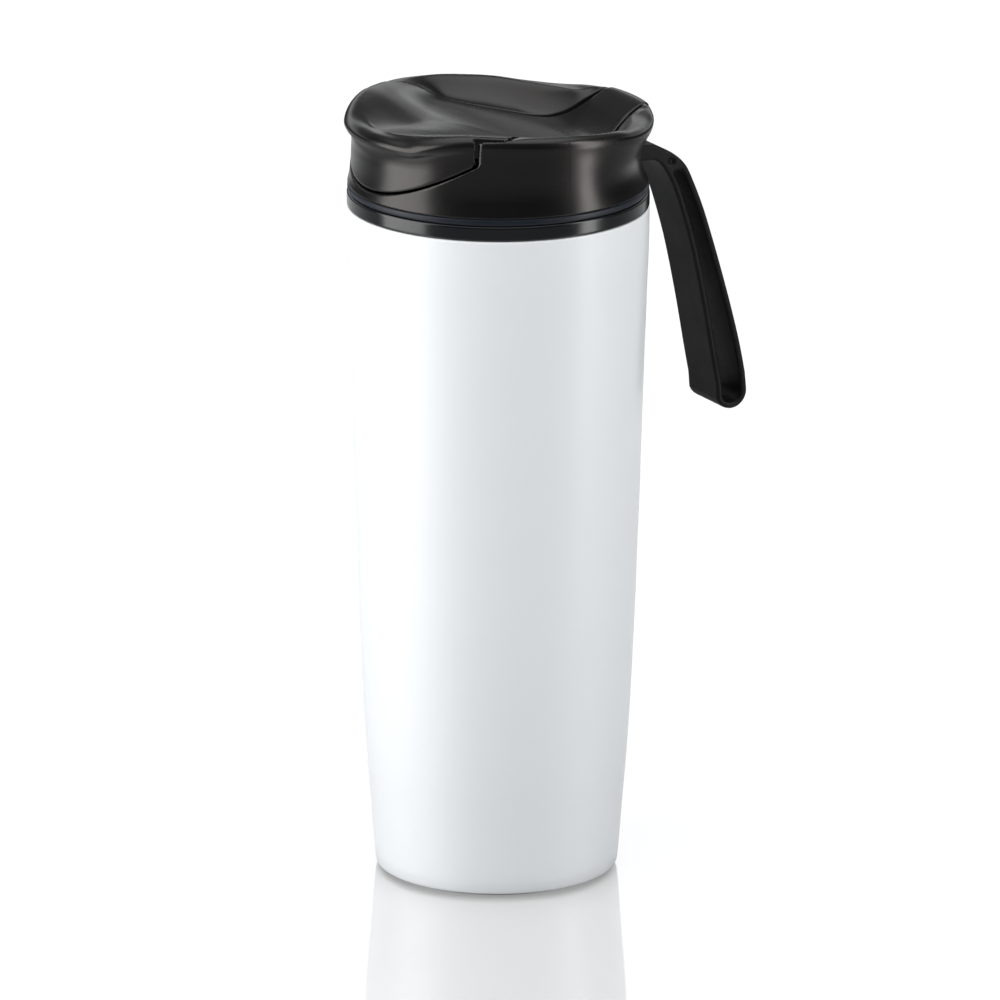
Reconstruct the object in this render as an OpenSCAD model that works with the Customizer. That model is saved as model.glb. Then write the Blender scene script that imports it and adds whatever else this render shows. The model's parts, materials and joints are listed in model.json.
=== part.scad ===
// Insulated tumbler with a screw lid, a flip cap, a strap handle and a suction base.
// Millimetres. The origin is on the tumbler's axis, where it meets the table; +Z is up and
// +X points to the handle, so the drinking side is -X.

/* [Shell] */
// Outer radius of the shell at its top edge
shell_top_r = 41; // [38:0.5:45]
// Height of the shell's top edge, where the collar begins
collar_z = 187; // [150:1:230]
// Inward taper of the wall, in mm per mm of height
taper = 0.03; // [0.02:0.005:0.04]
// Height below which the wall also curves inward
bend_z = 90; // [60:5:110]
// Radius of that curve, seen from the side
belly_r = 1630; // [1200:10:3000]
// Thickness of the shell's wall
shell_wall = 2; // [1.6:0.1:2.4]
// Gap between the table and the shell's bottom edge
base_gap = 1; // [0.6:0.1:1.6]

/* [Liner] */
// Air gap between the shell and the steel liner
air_gap = 2.6; // [2:0.1:3.2]
// Thickness of the steel
steel = 0.5; // [0.4:0.1:0.6]
// Height of the liner's floor
liner_floor_z = 17; // [16:0.5:24]

/* [Lid] */
// Height of the glossy collar band
collar_h = 4.2; // [3.5:0.1:5]
// Height of the lid's seal ring
seal_h = 2; // [1.5:0.1:2.5]
// Outer radius of the lid's rim
rim_r = 40.5; // [39.5:0.1:41]
// How far the rim stands above the collar's lower edge, at the drinking side
rim_high = 28; // [27:0.5:29]
// The same, at the handle
rim_low = 25; // [24:0.5:26]
// Rise of the lid for one full turn
thread_lead = 16; // [14:0.5:18]

/* [Handle] */
// Width of the strap
strap_w = 16.4; // [14:0.2:18]
// Thickness of each leg of the strap
strap_t = 1.8; // [1.6:0.1:2.2]

/* [Base] */
// Travel of the tumbler on its base, which opens the vent
release_travel = 1.5; // [1:0.1:1.8]
// Outer radius of the suction pad
pad_r = 29.6; // [26:0.1:30]

/* [Hidden] */
$fn = 96;

black = [0.05, 0.05, 0.055];
gloss_black = [0.02, 0.02, 0.025];
navy = [0.06, 0.08, 0.12];
white = [0.93, 0.94, 0.95];
steel_grey = [0.72, 0.73, 0.75];
clear_grey = [0.75, 0.78, 0.8];

press_gap = 0.02;    // round a screw or a pin in its hole
fit_gap = 0.05;      // between two fixed pieces
turn_gap = 0.06;     // round the hinge pin, where the cap turns on it
run_gap = 0.45;      // between two pieces that move
tail_gap = 1.1;      // beside the tail, where the tongue swings upright
far = 100;           // longer than anything it cuts

// Heights that follow one another up the collar and the lid
collar_top_z = collar_z + collar_h;
lid_z = collar_top_z + seal_h;
deck_t = 2;
deck_z = lid_z + deck_t;

// Collar, liner flange and thread
bore_r = shell_top_r - 3.8;
skirt_r = shell_top_r - 2.6;
skirt_z = collar_z - 15.5;
ledge_z = collar_z - 11;
ledge_t = 2;
flange_r = bore_r - 0.1;
insert_r = bore_r - 1.6;
insert_z = collar_z - 6.8;
ridge_h = 1.2;
ridge_starts = 4;
ridge_sweep = 72;
ridge_steps = 12;

// Spout and vent in the lid
spout_x = -23.5;
spout_r = 6.3;
spout_wall = 1.7;
spout_top_z = collar_z + 17;
vent_x = 8;
vent_r = 1.2;

// Hinge of the flip cap
hinge_x = 37.6;
hinge_z = collar_z + 22;
hinge_r = 1;
pin_length = 28;
ear_mid = 12.9;
ear_t = 4.4;
ear_reach = 4;
cap_t = 2.2;
lid_wall = 2;
weld_r = 33.4;
socket_x = 33.4;
arm_low = 8.5;
arm_t = 4.5;
root_margin = 2;
handle_screw_r = 1;
handle_screw_l = 8;
handle_screw_y = 5;
handle_head_t = 1.4;
handle_head_r = 2.1;
insert_t = 1.6;
tail_v = 10.4;
tail_r = 5.6;
notch_z = hinge_z - tail_r - 0.1;
wing_z = collar_z + 22;

// Cut between the cap's front skirt and the lid's wall, seen from the side
step_x = -24;
step_z = 21.8;
cut_slope = 0.775;
step_gap = 0.9;

// Base
carrier_z = 2.5;
carrier_t = 5;
carrier_r = 30.5;
plate_z = carrier_z + carrier_t + 0.1;
plate_t = 2;
screw_ring_r = 20;
screw_r = 1.6;
head_r = 3;
head_t = 1.6;
head_z = carrier_z + 0.4;
hex_r = 1.3;
hex_depth = 0.8;
stop_gap = 0.1;
boss_r = 3.4;
boss_top_z = plate_z + 7.5;
well_r = 11.5;
groove_in_r = 13;
vent_ring_r = 8;
vent_hole_r = 1.6;
stem_r = 1.5;

// Outer radius of the shell at height z
function shell_r(z) = shell_top_r - taper * (collar_z - z)
    - (z < bend_z ? pow(bend_z - z, 2) / (2 * belly_r) : 0);
function shell_heights(z0) = [z0, for (z = [10:10:bend_z]) if (z > z0) z, collar_z];

// Height fields of the lid's wave-shaped top, measured from collar_z. x runs from the
// drinking side (-) to the handle (+), and y across.
function ramp(t) = (1 - cos(180 * min(max(t, 0), 1))) / 2;
function from_to(x, x0, x1, z0, z1) = z0 + (z1 - z0) * ramp((x - x0) / (x1 - x0));
lip_x = -42;
dish_x = -27;
crest_x = -11;
valley_x = 24;
tail_x = 38.5;
lip_h = rim_low + 0.4;
dish_h = rim_low - 0.1;
crest_h = rim_low + 1.2;
valley_h = rim_low - 7.2;
function mid_h(x) = x < dish_x ? from_to(x, lip_x, dish_x, lip_h, dish_h)
    : x < crest_x ? from_to(x, dish_x, crest_x, dish_h, crest_h)
    : x < valley_x ? from_to(x, crest_x, valley_x, crest_h, valley_h)
    : from_to(x, valley_x, tail_x, valley_h, rim_low);
function rim_h(x) = x < step_x ? rim_high - (rim_high - lip_h) * pow((step_x - x) / (step_x - lip_x), 2)
    : from_to(x, step_x, 32, rim_high, rim_low);
function rim_y(x) = sqrt(max(rim_r * rim_r - x * x, 0));
// Half width of the cap's tongue, which narrows towards the handle
slot_wide_x = -19;
slot_narrow_x = 41;
wing_edge = 1.5;
function slot_y(x) = min(from_to(x, slot_wide_x, slot_narrow_x, 35.8, tail_v),
    max(rim_y(x) - wing_edge, tail_v));
function flat_y(x) = x < step_x ? 0 : slot_y(x) * ramp((x - step_x) / -step_x);
function side_share(x, y) = let (f = flat_y(x), r = rim_y(x))
    r <= f ? 0 : pow(min(max((abs(y) - f) / (r - f), 0), 1), 1.7);
function top_h(x, y) = mid_h(x) + (rim_h(x) - mid_h(x)) * side_share(x, y);

// A closed block over a disc of radius r, between the lid's top surface, lowered by drop, and
// the height z1, which lies above it or below it
module field_block(r, drop, z1, rings = 9, sectors = 48) {
    below = z1 < 10;
    n = sectors;
    surface = [[0, 0, top_h(0, 0) - drop],
        for (k = [1:rings], j = [0:n - 1])
            let (x = r * k / rings * cos(360 * j / n), y = r * k / rings * sin(360 * j / n))
            [x, y, top_h(x, y) - drop]];
    last = 1 + (rings - 1) * n;
    edge = [for (j = [0:n - 1]) [surface[last + j][0], surface[last + j][1], z1]];
    points = concat(surface, edge);
    faces = [
        for (j = [0:n - 1]) [0, 1 + j, 1 + (j + 1) % n],
        for (k = [1:rings - 1], j = [0:n - 1])
            let (a = 1 + (k - 1) * n + j, b = 1 + (k - 1) * n + (j + 1) % n)
            each [[a, a + n, b + n], [a, b + n, b]],
        for (j = [0:n - 1])
            let (a = last + j, b = last + (j + 1) % n)
            each [[a, a + n, b + n], [a, b + n, b]],
        [for (j = [n - 1:-1:0]) last + n + j]];
    translate([0, 0, collar_z])
        polyhedron(points, below ? [for (f = faces) [for (i = [len(f) - 1:-1:0]) f[i]]] : faces);
}

module ring(r_out, r_in, z0, z1) {
    translate([0, 0, z0]) difference() {
        cylinder(h = z1 - z0, r = r_out);
        translate([0, 0, -1]) cylinder(h = z1 - z0 + 2, r = r_in);
    }
}

// Places its children at equal angles round the axis
module around(count, r, start = 0) {
    for (i = [0:count - 1]) rotate([0, 0, start + 360 * i / count]) translate([r, 0, 0]) children();
}

// Stands a side view, drawn as x against height, upright and centres it on y = 0
module side(width) {
    rotate([90, 0, 0]) translate([0, 0, -width / 2]) linear_extrude(width) children();
}

// Outline of the cap's tongue from above, grown by gap
module tongue_plan(gap) {
    xs = [for (x = [step_x - 4:3:44]) x];
    polygon(concat([for (x = xs) [x, -slot_y(max(x, step_x)) - gap]],
        [for (i = [len(xs) - 1:-1:0]) [xs[i], slot_y(max(xs[i], step_x)) + gap]]));
}

// Everything in front of and above the cut below the cap's skirt, grown by gap at the step and
// by half of it below the skirt
module front_region(gap) {
    front_x = -50;
    drop = gap / 2 * sqrt(1 + cut_slope * cut_slope);
    edge_x = step_x + gap;
    translate([0, 0, collar_z]) side(far) polygon([[edge_x, far], [edge_x, step_z + cut_slope * gap - drop],
        [front_x, step_z - cut_slope * (step_x - front_x) - drop], [front_x, far]]);
}

// --- Base, which stays on the table ---------------------------------------------------

// The pad is pressed flat on the table, with a shallow ring groove and three vent holes
pad_top_z = carrier_z - fit_gap;
module suction_pad() {
    color(clear_grey) difference() {
        rotate_extrude() polygon([[0, 0], [pad_r, 0], [pad_r, 0.8], [pad_r - 1.2, pad_top_z - 0.5],
            [pad_r - 1.2, pad_top_z], [0, pad_top_z]]);
        ring(pad_r - 5, groove_in_r, -1, 0.7);
        around(3, vent_ring_r) translate([0, 0, -1]) cylinder(h = far, r = vent_hole_r);
    }
}

module pad_clamp_ring() {
    color(black) rotate_extrude() polygon([[pad_r + fit_gap, 0.9], [carrier_r, 0.9],
        [carrier_r, pad_top_z], [pad_r - 1.15, pad_top_z], [pad_r - 1.15, pad_top_z - 0.45]]);
}

module base_carrier() {
    color(black) difference() {
        translate([0, 0, carrier_z]) cylinder(h = carrier_t, r = carrier_r);
        translate([0, 0, -1]) cylinder(h = far, r = well_r);
        around(3, screw_ring_r) {
            translate([0, 0, -1]) cylinder(h = far, r = screw_r + 0.2);
            translate([0, 0, carrier_z - 1]) cylinder(h = head_z - carrier_z + 1 + head_t + release_travel
                + stop_gap, r = head_r + run_gap);
        }
    }
}

// --- Tumbler ----------------------------------------------------------------------------

module shoulder_screws() {
    shank_z = head_z + head_t;
    color(steel_grey) around(3, screw_ring_r) {
        translate([0, 0, head_z]) difference() {
            cylinder(h = head_t, r = head_r);
            translate([0, 0, -1]) cylinder(h = 1 + hex_depth, r = hex_r, $fn = 6);
        }
        translate([0, 0, shank_z]) cylinder(h = boss_top_z - 1.2 - shank_z, r = screw_r);
    }
}

module bottom_plate() {
    rim_top_z = plate_z + 5;
    rim_t = 1.7;
    wall_gap = shell_wall + 0.1;
    low_r = shell_r(plate_z) - wall_gap;
    high_r = shell_r(rim_top_z) - wall_gap;
    color(white) difference() {
        union() {
            rotate_extrude() polygon([[0, plate_z], [low_r, plate_z], [high_r, rim_top_z],
                [high_r - rim_t, rim_top_z], [low_r - rim_t, plate_z + plate_t], [0, plate_z + plate_t]]);
            around(3, screw_ring_r) translate([0, 0, plate_z]) cylinder(h = boss_top_z - plate_z, r = boss_r);
            translate([0, 0, plate_z]) cylinder(h = boss_top_z - plate_z, r = boss_r);
        }
        around(3, screw_ring_r) translate([0, 0, plate_z - 1])
            cylinder(h = boss_top_z - plate_z, r = screw_r + press_gap);
        translate([0, 0, plate_z - 1]) cylinder(h = boss_top_z - plate_z, r = stem_r + press_gap);
    }
}

seal_z = carrier_z + 0.1;
seal_t = 1.5;
disc_t = 1.2;
module vent_stem() {
    disc_z = seal_z + seal_t + fit_gap;
    color(steel_grey) union() {
        translate([0, 0, disc_z]) cylinder(h = disc_t, r = vent_ring_r + 2.4);
        translate([0, 0, disc_z]) cylinder(h = boss_top_z - 1.5 - disc_z, r = stem_r);
        translate([0, 0, seal_z]) cylinder(h = seal_t + 0.2, r = 4);
    }
}

module vent_seal() {
    color(navy) ring(vent_ring_r + 2.8, 4 + fit_gap, seal_z, seal_z + seal_t);
}

module outer_shell() {
    zs = shell_heights(base_gap + 0.8);
    color(white) rotate_extrude() polygon(concat(
        [[shell_r(base_gap) - shell_wall + 0.4, base_gap], [shell_r(base_gap) - 0.9, base_gap]],
        [for (z = zs) [shell_r(z), z]],
        [for (i = [len(zs) - 1:-1:0]) [shell_r(zs[i]) - shell_wall, zs[i]]]));
}

function liner_r(z) = shell_r(z) - shell_wall - air_gap;
liner_corner = 7;
module inner_liner() {
    top = ledge_z - 1;
    zs = [liner_floor_z + liner_corner + 3, for (z = [40:10:bend_z]) z, top];
    function corner(inset) = [for (a = [0:15:90])
        [liner_r(liner_floor_z + 10) - liner_corner + (liner_corner - inset) * sin(a),
            liner_floor_z + liner_corner - (liner_corner - inset) * cos(a)]];
    color(steel_grey) rotate_extrude() polygon(concat(
        [[0, liner_floor_z]], corner(0), [for (z = zs) [liner_r(z), z]],
        [[flange_r, top], [flange_r, top + steel], [liner_r(top) - steel, top + steel]],
        [for (i = [len(zs) - 2:-1:0]) [liner_r(zs[i]) - steel, zs[i]]],
        [for (i = [6:-1:0]) corner(steel)[i]], [[0, liner_floor_z + steel]]));
}

module liner_gasket() {
    color(navy) ring(flange_r, liner_r(ledge_z) + 0.1, ledge_z - 1 + steel + 0.02, ledge_z - 0.02);
}

module liner_clamp_ring() {
    color(black) ring(flange_r, liner_r(ledge_z) + 0.4, skirt_z, ledge_z - 1 - 0.02);
}

// One helical ridge on a cylinder of radius r. out is 1 for a ridge that points outwards and
// -1 for one that points inwards; z is the height at its lower end.
module ridge(r, out, z) {
    root = 0.4;
    section = [[-root, -1], [ridge_h, -0.5], [ridge_h, 0.5], [-root, 1]];
    n = len(section);
    points = [for (i = [0:ridge_steps])
        let (a = ridge_sweep * i / ridge_steps, end = min(i, ridge_steps - i) == 0 ? 0.3 : 1)
        each [for (s = section) [(r + out * (s[0] < 0 ? s[0] : s[0] * end)) * cos(a),
            (r + out * (s[0] < 0 ? s[0] : s[0] * end)) * sin(a), z + thread_lead * a / 360 + s[1]]]];
    walls = [for (i = [0:ridge_steps - 1], k = [0:n - 1])
        let (a = i * n + k, b = i * n + (k + 1) % n)
        each [[a, b, b + n], [a, b + n, a + n]]];
    ends = [[for (k = [n - 1:-1:0]) k], [for (k = [0:n - 1]) ridge_steps * n + k]];
    faces = concat(walls, ends);
    polyhedron(points, out > 0 ? faces : [for (f = faces) [for (i = [len(f) - 1:-1:0]) f[i]]]);
}

module ridges(r, out, z) {
    for (i = [0:ridge_starts - 1]) rotate([0, 0, 360 * i / ridge_starts]) ridge(r, out, z);
}

collar_ridge_z = collar_z - 3.1;
module collar() {
    color(gloss_black) union() {
        rotate_extrude() polygon([
            [bore_r, ledge_z + ledge_t], [bore_r, collar_top_z], [shell_top_r - 0.4, collar_top_z],
            [shell_top_r, collar_top_z - 0.5], [shell_top_r - 0.1, collar_z + fit_gap],
            [skirt_r, collar_z + fit_gap], [skirt_r, skirt_z], [flange_r + 0.05, skirt_z],
            [flange_r + 0.05, ledge_z], [liner_r(ledge_z) - steel, ledge_z],
            [liner_r(ledge_z) - steel, ledge_z + ledge_t]]);
        ridges(bore_r, -1, collar_ridge_z);
    }
}

// --- Lid ---------------------------------------------------------------------------------

module lid_gasket() {
    color(navy) rotate_extrude() polygon([
        [bore_r + 0.4, collar_top_z + 0.03], [shell_top_r - 0.6, collar_top_z + 0.03],
        [shell_top_r - 0.2, collar_top_z + 0.5], [shell_top_r - 0.2, lid_z - 0.5],
        [shell_top_r - 0.6, lid_z - 0.03], [bore_r + 0.4, lid_z - 0.03]]);
}

// Outside of the lid: a wall with a waist, which is deeper on the handle side, and a lip that
// stands out at both ends
waist_shift = 1.4;
module wall_solid(inset) {
    h = collar_z + rim_high + 1;
    intersection() {
        rotate_extrude() polygon([[0, lid_z], [shell_top_r - 0.3 - inset, lid_z],
            [shell_top_r - 0.6 - inset, lid_z + 2], [shell_top_r - 0.9 - inset, lid_z + 6],
            [shell_top_r - 0.9 - inset, lid_z + 12], [rim_r - inset, lid_z + 18],
            [rim_r - inset, h], [0, h]]);
        translate([-waist_shift, 0, 0]) rotate_extrude() polygon([[0, lid_z],
            [shell_top_r + 1 - inset, lid_z], [shell_top_r - 0.4 - inset, lid_z + 2.5],
            [shell_top_r - 1.1 - inset, lid_z + 6], [shell_top_r - 1.1 - inset, lid_z + 8],
            [shell_top_r - 0.4 - inset, lid_z + 12], [shell_top_r + 1.6 - inset, lid_z + 17],
            [shell_top_r + 1.6 - inset, h], [0, h]]);
    }
}

lip_shift = 1.7;
module lip_bead(x) {
    translate([x, 0, 0]) rotate_extrude() polygon([
        [rim_r - 4, collar_z + 17.5], [rim_r - 1.6, collar_z + 18.5], [rim_r - 0.5, collar_z + 20.5],
        [rim_r, collar_z + 22.5], [rim_r, collar_z + 24], [rim_r - 0.5, collar_z + 30],
        [rim_r - 4, collar_z + 30]]);
}

// The outside of the lid and its cap together, below the wave of their top
module lid_block(shift) {
    difference() {
        union() {
            wall_solid(0);
            lip_bead(shift);
        }
        field_block(44, 0, 45);
    }
}

// The two shoulders beside the cap's tongue, from above
module shoulder_plan(r, gap) {
    difference() {
        circle(r = r);
        tongue_plan(gap);
        translate([-far + step_x + step_gap, -far / 2]) square(far);
    }
}

// Blocks inside the shoulders that carry the hinge pin
module ears() {
    for (s = [-1, 1]) translate([hinge_x - ear_reach, s * ear_mid - ear_t / 2, hinge_z - ear_reach])
        cube([2 * ear_reach, ear_t, 3 * ear_reach]);
}

// Where the handle's root sits in the wall
module handle_socket() {
    translate([socket_x, -strap_w / 2 - fit_gap, collar_z + arm_low - fit_gap])
        cube([far, strap_w + 2 * fit_gap, arm_t + 2 * fit_gap]);
}

module lid_body() {
    tube_z = insert_z + insert_t + fit_gap;
    color(black) difference() {
        union() {
            difference() {
                lid_block(lip_shift);
                front_region(step_gap);
                // Room for the tongue, and for the tail, which reaches through the back wall
                translate([0, 0, wing_z]) linear_extrude(far) tongue_plan(run_gap);
                intersection() {
                    translate([0, 0, notch_z]) linear_extrude(far) tongue_plan(tail_gap);
                    translate([valley_x - 4, -far / 2, 0]) cube([far, far, 3 * far]);
                }
                // Room between the deck and the cap
                intersection() {
                    translate([0, 0, deck_z]) linear_extrude(far) union() {
                        tongue_plan(run_gap);
                        translate([-far + step_x + step_gap, -far / 2]) square(far);
                    }
                    wall_solid(lid_wall);
                }
                // Hollow shoulders, open below inside the rim that the insert is welded to
                difference() {
                    intersection() {
                        wall_solid(lid_wall);
                        field_block(44, cap_t, -10);
                        translate([0, 0, lid_z - 1]) linear_extrude(far)
                            shoulder_plan(rim_r, run_gap + lid_wall);
                    }
                    ring(far, weld_r, lid_z - 2, deck_z);
                    ears();
                }
            }
            // Block behind the back wall that holds the handle's root
            intersection() {
                wall_solid(lid_wall / 2);
                translate([socket_x - root_margin, -strap_w / 2 - root_margin, lid_z])
                    cube([far, strap_w + 2 * root_margin, notch_z - lid_z]);
            }
            translate([spout_x, 0, tube_z]) cylinder(h = spout_top_z - tube_z, r = spout_r + spout_wall);
            translate([vent_x, 0, tube_z]) cylinder(h = lid_z + 1 - tube_z, r = vent_r + 1.2);
        }
        translate([spout_x, 0, 0]) cylinder(h = 3 * far, r = spout_r);
        translate([vent_x, 0, 0]) cylinder(h = 3 * far, r = vent_r);
        handle_socket();
        at_handle_screws() cylinder(h = handle_screw_l + 1, r = handle_screw_r + fit_gap);
        translate([hinge_x, 0, hinge_z]) rotate([90, 0, 0])
            cylinder(h = pin_length + 2, r = hinge_r + press_gap, center = true);
    }
}

module lid_insert() {
    top = lid_z - fit_gap;
    color(black) difference() {
        union() {
            ring(insert_r, insert_r - 1.8, insert_z, top);
            translate([0, 0, insert_z]) cylinder(h = insert_t, r = insert_r - 0.5);
            ridges(insert_r, 1, collar_ridge_z + 1.9);
        }
        translate([spout_x, 0, 0]) cylinder(h = 2 * far, r = spout_r);
        translate([vent_x, 0, 0]) cylinder(h = 2 * far, r = vent_r);
    }
}

module insert_o_ring() {
    inner_r = spout_r + spout_wall + fit_gap;
    color(navy) translate([spout_x, 0, insert_z + insert_t + fit_gap]) rotate_extrude()
        translate([inner_r + 0.8, 0.8]) circle(r = 0.8, $fn = 24);
}

// Side view of the handle, measured from collar_z: the outer leg's outside, going down, and the
// inner leg's inside, going up, with the round foot between them
leg_out = [[42.5, 13], [47, 11.3], [51, 8.8], [53.8, 5.9], [55.9, 1.8], [59.1, -6], [62.1, -15],
    [65.3, -25.4], [68.3, -35.8], [71, -46.2], [72.8, -54.8]];
leg_in = [[63.7, -57.4], [62, -48.8], [60.1, -38.5], [58, -28.2], [55.6, -17.8], [53.1, -9.1],
    [50.8, -2.1], [48.8, 2.6], [46.6, 6.2], [44.6, 8], [42.5, 8.5]];
foot_middle = [68.5, -60];
foot_r = 4.8;
slot_top = [51, 5];
slot_lean = 15;
module handle_outline() {
    polygon(concat([[socket_x + fit_gap, arm_low + arm_t]], leg_out,
        [for (a = [0:-15:-165]) foot_middle + foot_r * [cos(a), sin(a)]],
        leg_in, [[socket_x + fit_gap, arm_low]]));
}

// The slot between the two legs
module handle_slot() {
    intersection() {
        offset(delta = -strap_t) handle_outline();
        translate(slot_top) rotate(slot_lean - 90) translate([0, -far / 2]) square(far);
    }
}

module handle() {
    color(black) difference() {
        translate([0, 0, collar_z]) side(strap_w) difference() {
            handle_outline();
            handle_slot();
        }
        at_handle_screws() cylinder(h = handle_screw_l + 1, r = handle_screw_r + press_gap);
    }
}

// Puts its children at each handle screw, pointing outwards from behind the socket
module at_handle_screws() {
    x = socket_x - root_margin - fit_gap;
    for (s = [-1, 1]) translate([x, s * handle_screw_y, collar_z + arm_low + arm_t / 2])
        rotate([0, 90, 0]) children();
}

module handle_screws() {
    color(steel_grey) at_handle_screws() {
        translate([0, 0, -handle_head_t]) cylinder(h = handle_head_t, r = handle_head_r);
        cylinder(h = handle_screw_l, r = handle_screw_r);
    }
}

module hinge_pin() {
    color(steel_grey) translate([hinge_x, 0, hinge_z]) rotate([90, 0, 0])
        cylinder(h = pin_length, r = hinge_r, center = true);
}

// --- Flip cap ------------------------------------------------------------------------------

cap_plate_t = 1.4;
cap_plate_z = spout_top_z + 3.4;
plate_back_x = -20.5;
plate_screw_x = -25;
plate_screw_y = 19;
plate_screw_r = 1;
plate_head_r = 2;
plate_boss_r = 2.4;
post_z = deck_z + 2.4;
post_r = 2.2;
peg_r = 1.2;
peg_l = 1.2;
plug_r = 2.6;
stopper_stem_r = 3;

// Puts its children at each screw of the cap's inner plate
module at_plate_screws() {
    for (s = [-1, 1]) translate([plate_screw_x, s * plate_screw_y, cap_plate_z]) children();
}

module under_cap_skin() {
    intersection() {
        wall_solid(lid_wall);
        field_block(44, cap_t, -10);
    }
}

module flip_cap() {
    color(black) difference() {
        union() {
            // Front: dished top, lip and skirt
            difference() {
                intersection() {
                    lid_block(-lip_shift);
                    front_region(0);
                }
                under_cap_skin();
            }
            // Tongue
            intersection() {
                wall_solid(0.6);
                difference() {
                    translate([0, 0, collar_z]) linear_extrude(40) tongue_plan(0);
                    field_block(44, cap_t, -10);
                }
                field_block(44, 0, -10);
            }
            // Tail that turns round the hinge
            intersection() {
                lid_block(lip_shift);
                translate([hinge_x, 0, hinge_z]) rotate([90, 0, 0])
                    cylinder(h = 2 * tail_v, r = tail_r, center = true);
            }
            // Bosses for the plate's screws, and the post of the vent stopper
            intersection() {
                at_plate_screws() translate([0, 0, cap_plate_t + fit_gap]) cylinder(h = 10, r = plate_boss_r);
                field_block(44, 0.5, -10);
            }
            intersection() {
                translate([vent_x, 0, post_z]) cylinder(h = 20, r = post_r);
                field_block(44, 0.5, -10);
            }
            translate([vent_x, 0, post_z - peg_l]) cylinder(h = peg_l + 1, r = peg_r);
        }
        at_plate_screws() cylinder(h = 3.2, r = plate_screw_r + press_gap);
        translate([hinge_x, 0, hinge_z]) rotate([90, 0, 0])
            cylinder(h = far, r = hinge_r + turn_gap, center = true);
    }
}

module cap_inner_plate() {
    color(black) difference() {
        intersection() {
            wall_solid(lid_wall + 0.2);
            translate([plate_back_x - far, -far / 2, cap_plate_z]) cube([far, far, cap_plate_t]);
        }
        translate([spout_x, 0, 0]) cylinder(h = 3 * far, r = stopper_stem_r + fit_gap);
        at_plate_screws() translate([0, 0, -1]) cylinder(h = 9, r = plate_screw_r + 2 * fit_gap);
    }
}

module cap_plate_screws() {
    head = 1.1;
    color(steel_grey) at_plate_screws() {
        translate([0, 0, -head]) cylinder(h = head - fit_gap, r = plate_head_r);
        translate([0, 0, -head / 2]) cylinder(h = head / 2 + 2.9, r = plate_screw_r);
    }
}

module spout_stopper() {
    flange_r = spout_r + spout_wall;
    color(clear_grey) translate([spout_x, 0, spout_top_z]) rotate_extrude() polygon([
        [0, -3], [spout_r - 1.6, -3], [spout_r - 0.5, 0.1], [flange_r, 0.1], [flange_r, 1.9],
        [stopper_stem_r, 3.35], [stopper_stem_r, 4.85], [stopper_stem_r + 1.2, 4.85],
        [stopper_stem_r, 5.5], [0, 5.5]]);
}

module vent_stopper() {
    color(clear_grey) translate([vent_x, 0, 0]) difference() {
        translate([0, 0, deck_z + 0.1]) cylinder(h = post_z - deck_z - 0.1 - fit_gap, r = plug_r);
        translate([0, 0, post_z - peg_l - fit_gap]) cylinder(h = peg_l + 1, r = peg_r + fit_gap);
    }
}

suction_pad();
pad_clamp_ring();
base_carrier();
shoulder_screws();
bottom_plate();
vent_stem();
vent_seal();
outer_shell();
inner_liner();
liner_gasket();
liner_clamp_ring();
collar();
lid_gasket();
lid_body();
lid_insert();
insert_o_ring();
handle();
handle_screws();
hinge_pin();
flip_cap();
cap_inner_plate();
cap_plate_screws();
spout_stopper();
vent_stopper();
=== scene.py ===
"""Looks of an insulated tumbler with a screw lid, a flip cap and a strap handle.

Shapes are worked out in millimetres, with h the height above the top of the outer shell, and become
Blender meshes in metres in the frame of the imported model.
"""
import json
import math

import bpy
import numpy as np
from mathutils import Matrix, Vector


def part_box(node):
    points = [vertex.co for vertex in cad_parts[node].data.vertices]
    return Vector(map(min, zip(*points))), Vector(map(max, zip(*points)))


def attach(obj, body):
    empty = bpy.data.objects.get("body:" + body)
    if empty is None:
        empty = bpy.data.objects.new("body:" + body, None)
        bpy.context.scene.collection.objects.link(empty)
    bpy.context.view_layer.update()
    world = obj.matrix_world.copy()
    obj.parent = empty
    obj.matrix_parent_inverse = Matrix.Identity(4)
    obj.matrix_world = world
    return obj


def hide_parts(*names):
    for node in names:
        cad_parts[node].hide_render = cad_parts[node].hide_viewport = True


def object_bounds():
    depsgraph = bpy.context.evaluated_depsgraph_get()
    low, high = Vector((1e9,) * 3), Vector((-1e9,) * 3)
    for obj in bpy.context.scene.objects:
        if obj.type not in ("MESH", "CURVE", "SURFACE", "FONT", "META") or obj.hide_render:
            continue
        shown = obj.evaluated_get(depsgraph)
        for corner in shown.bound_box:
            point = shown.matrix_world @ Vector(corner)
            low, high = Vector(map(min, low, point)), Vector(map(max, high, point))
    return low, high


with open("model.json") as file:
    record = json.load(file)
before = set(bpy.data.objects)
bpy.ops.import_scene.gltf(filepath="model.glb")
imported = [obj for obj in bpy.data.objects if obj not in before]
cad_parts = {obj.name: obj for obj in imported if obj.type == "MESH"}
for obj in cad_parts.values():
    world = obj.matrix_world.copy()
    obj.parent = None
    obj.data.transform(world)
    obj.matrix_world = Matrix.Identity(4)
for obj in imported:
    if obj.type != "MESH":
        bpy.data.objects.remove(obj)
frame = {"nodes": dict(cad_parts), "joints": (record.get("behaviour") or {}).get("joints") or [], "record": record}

MM = 0.001
cad_low, cad_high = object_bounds()

# --- Places that come from the frame, in millimetres --------------------------------------


def mm_box(node):
    low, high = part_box(node)
    return np.array(low) / MM, np.array(high) / MM


def joint(name):
    return next(j for j in frame["joints"] if j["name"] == name)


COLLAR_Z = mm_box("outer_shell")[1][2]


def height(z):
    return z - COLLAR_Z


# Clearances and sizes that the frame's boxes don't give
FIT = 0.05
SEAL_WIDTH = 3.6
SEAL_CLEARANCE = 0.03
DECK_T = 2
STOPPER_DEPTH = 3
SCREW_HEAD_R = 2
LINER_FLANGE = 1.4

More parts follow.
